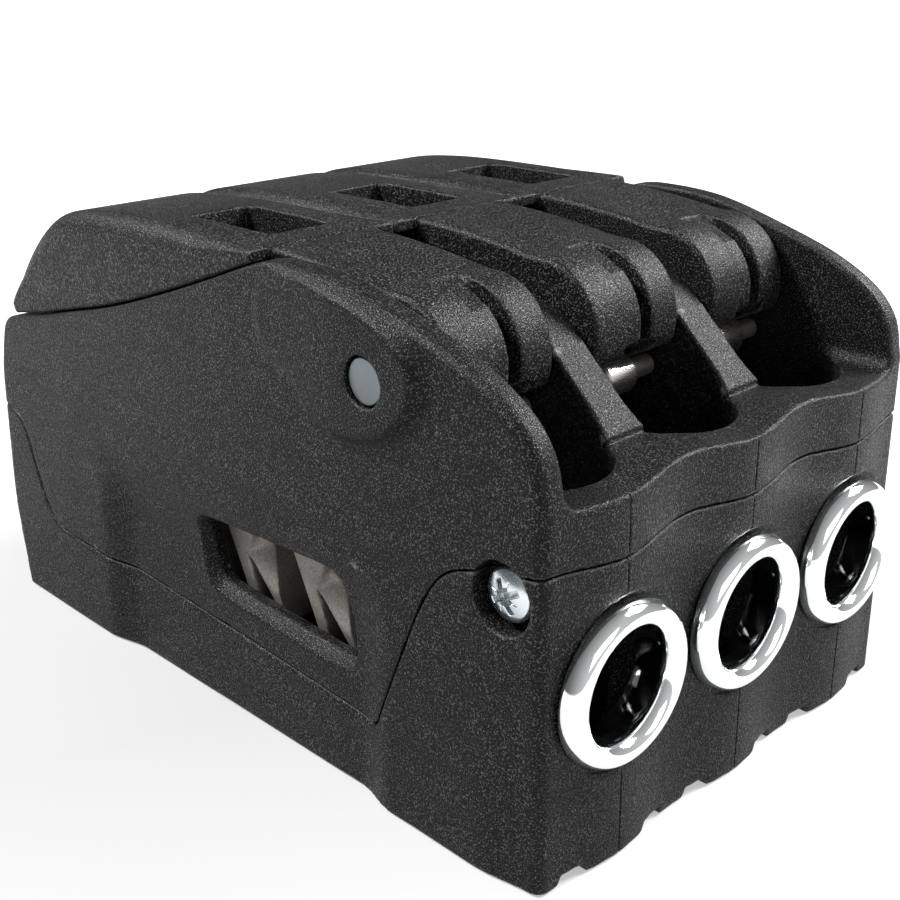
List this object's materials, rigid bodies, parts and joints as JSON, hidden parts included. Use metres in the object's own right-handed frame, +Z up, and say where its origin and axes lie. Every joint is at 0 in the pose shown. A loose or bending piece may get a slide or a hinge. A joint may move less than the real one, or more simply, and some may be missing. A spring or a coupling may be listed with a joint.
{
  "type": "triple rope clutch",
  "caption": "Triple lever-operated rope clutch for a yacht's deck: moulded housing, chromed ferrules, hinged levers and tilting dominoes that grip the ropes.",
  "frame": {"origin": "middle of the base, on the deck", "axes": "+X along the ropes towards the front ferrules, +Y across the modules towards the clamp nut's side, +Z up from the deck"},
  "size_m": [0.1738, 0.1088, 0.0944],
  "materials": {
    "shell": "fine spark-eroded texture, black",
    "lever": "fine spark-eroded texture, black",
    "chrome": "mirror polished stainless steel",
    "steel": "ground stainless steel",
    "domino": "cast grey-brown metal, machined faces"
  },
  "bodies": {
    "housing": {"cheek_left": "shell", "divider_a": "shell", "divider_b": "shell", "cheek_right": "shell", "base_left": "shell", "base_mid_a": "shell", "base_mid_b": "shell", "base_right": "shell", "front_ferrule_1": "chrome", "front_ferrule_2": "chrome", "front_ferrule_3": "chrome", "rear_ferrule_1": "chrome", "rear_ferrule_2": "chrome", "rear_ferrule_3": "chrome", "pivot_pin": "steel", "domino_pin_1": "steel", "domino_pin_2": "steel", "domino_pin_3": "steel", "domino_pin_4": "steel", "clamp_bolt": "steel", "clamp_nut": "steel"},
    "lever_1": {"lever_1": "lever", "crank_pin_1": "steel", "crank_collar_1": "chrome"},
    "slide_1": {"release_slide_1": "steel"},
    "domino_1_1": {"domino_1_1": "domino"},
    "domino_1_2": {"domino_1_2": "domino"},
    "domino_1_3": {"domino_1_3": "domino"},
    "domino_1_4": {"domino_1_4": "domino"},
    "lever_2": {"lever_2": "lever", "crank_pin_2": "steel", "crank_collar_2": "chrome"},
    "slide_2": {"release_slide_2": "steel"},
    "domino_2_1": {"domino_2_1": "domino"},
    "domino_2_2": {"domino_2_2": "domino"},
    "domino_2_3": {"domino_2_3": "domino"},
    "domino_2_4": {"domino_2_4": "domino"},
    "lever_3": {"lever_3": "lever", "crank_pin_3": "steel", "crank_collar_3": "chrome"},
    "slide_3": {"release_slide_3": "steel"},
    "domino_3_1": {"domino_3_1": "domino"},
    "domino_3_2": {"domino_3_2": "domino"},
    "domino_3_3": {"domino_3_3": "domino"},
    "domino_3_4": {"domino_3_4": "domino"}
  },
  "joints": [
    {"name": "lever_1_hinge", "type": "hinge", "parent": "housing", "child": "lever_1", "pos_m": [0.0458, -0.033, 0.07915], "axis": [0, 1, 0], "range_deg": [0, 100]},
    {"name": "slide_1_travel", "type": "slide", "parent": "housing", "child": "slide_1", "axis": [-1, 0, 0], "range_m": [0, 0.0153]},
    {"name": "domino_1_1_tilt", "type": "hinge", "parent": "housing", "child": "domino_1_1", "pos_m": [0.0074, -0.033, 0.056], "axis": [0, 1, 0], "range_deg": [0, 24.2]},
    {"name": "domino_1_2_tilt", "type": "hinge", "parent": "housing", "child": "domino_1_2", "pos_m": [-0.0144, -0.033, 0.056], "axis": [0, 1, 0], "range_deg": [0, 24.2]},
    {"name": "domino_1_3_tilt", "type": "hinge", "parent": "housing", "child": "domino_1_3", "pos_m": [-0.0362, -0.033, 0.056], "axis": [0, 1, 0], "range_deg": [0, 24.2]},
    {"name": "domino_1_4_tilt", "type": "hinge", "parent": "housing", "child": "domino_1_4", "pos_m": [-0.058, -0.033, 0.056], "axis": [0, 1, 0], "range_deg": [0, 24.2]},
    {"name": "lever_2_hinge", "type": "hinge", "parent": "housing", "child": "lever_2", "pos_m": [0.0458, 0, 0.07915], "axis": [0, 1, 0], "range_deg": [0, 100]},
    {"name": "slide_2_travel", "type": "slide", "parent": "housing", "child": "slide_2", "axis": [-1, 0, 0], "range_m": [0, 0.0153]},
    {"name": "domino_2_1_tilt", "type": "hinge", "parent": "housing", "child": "domino_2_1", "pos_m": [0.0074, 0, 0.056], "axis": [0, 1, 0], "range_deg": [0, 24.2]},
    {"name": "domino_2_2_tilt", "type": "hinge", "parent": "housing", "child": "domino_2_2", "pos_m": [-0.0144, 0, 0.056], "axis": [0, 1, 0], "range_deg": [0, 24.2]},
    {"name": "domino_2_3_tilt", "type": "hinge", "parent": "housing", "child": "domino_2_3", "pos_m": [-0.0362, 0, 0.056], "axis": [0, 1, 0], "range_deg": [0, 24.2]},
    {"name": "domino_2_4_tilt", "type": "hinge", "parent": "housing", "child": "domino_2_4", "pos_m": [-0.058, 0, 0.056], "axis": [0, 1, 0], "range_deg": [0, 24.2]},
    {"name": "lever_3_hinge", "type": "hinge", "parent": "housing", "child": "lever_3", "pos_m": [0.0458, 0.033, 0.07915], "axis": [0, 1, 0], "range_deg": [0, 100]},
    {"name": "slide_3_travel", "type": "slide", "parent": "housing", "child": "slide_3", "axis": [-1, 0, 0], "range_m": [0, 0.0153]},
    {"name": "domino_3_1_tilt", "type": "hinge", "parent": "housing", "child": "domino_3_1", "pos_m": [0.0074, 0.033, 0.056], "axis": [0, 1, 0], "range_deg": [0, 24.2]},
    {"name": "domino_3_2_tilt", "type": "hinge", "parent": "housing", "child": "domino_3_2", "pos_m": [-0.0144, 0.033, 0.056], "axis": [0, 1, 0], "range_deg": [0, 24.2]},
    {"name": "domino_3_3_tilt", "type": "hinge", "parent": "housing", "child": "domino_3_3", "pos_m": [-0.0362, 0.033, 0.056], "axis": [0, 1, 0], "range_deg": [0, 24.2]},
    {"name": "domino_3_4_tilt", "type": "hinge", "parent": "housing", "child": "domino_3_4", "pos_m": [-0.058, 0.033, 0.056], "axis": [0, 1, 0], "range_deg": [0, 24.2]}
  ],
  "couplings": [
    {"joint": "slide_1_travel", "follows": "lever_1_hinge", "m_per_rad": 0.008709},
    {"joint": "domino_1_1_tilt", "follows": "lever_1_hinge", "ratio": 0.24},
    {"joint": "domino_1_2_tilt", "follows": "lever_1_hinge", "ratio": 0.24},
    {"joint": "domino_1_3_tilt", "follows": "lever_1_hinge", "ratio": 0.24},
    {"joint": "domino_1_4_tilt", "follows": "lever_1_hinge", "ratio": 0.24},
    {"joint": "slide_2_travel", "follows": "lever_2_hinge", "m_per_rad": 0.008709},
    {"joint": "domino_2_1_tilt", "follows": "lever_2_hinge", "ratio": 0.24},
    {"joint": "domino_2_2_tilt", "follows": "lever_2_hinge", "ratio": 0.24},
    {"joint": "domino_2_3_tilt", "follows": "lever_2_hinge", "ratio": 0.24},
    {"joint": "domino_2_4_tilt", "follows": "lever_2_hinge", "ratio": 0.24},
    {"joint": "slide_3_travel", "follows": "lever_3_hinge", "m_per_rad": 0.008709},
    {"joint": "domino_3_1_tilt", "follows": "lever_3_hinge", "ratio": 0.24},
    {"joint": "domino_3_2_tilt", "follows": "lever_3_hinge", "ratio": 0.24},
    {"joint": "domino_3_3_tilt", "follows": "lever_3_hinge", "ratio": 0.24},
    {"joint": "domino_3_4_tilt", "follows": "lever_3_hinge", "ratio": 0.24}
  ]
}
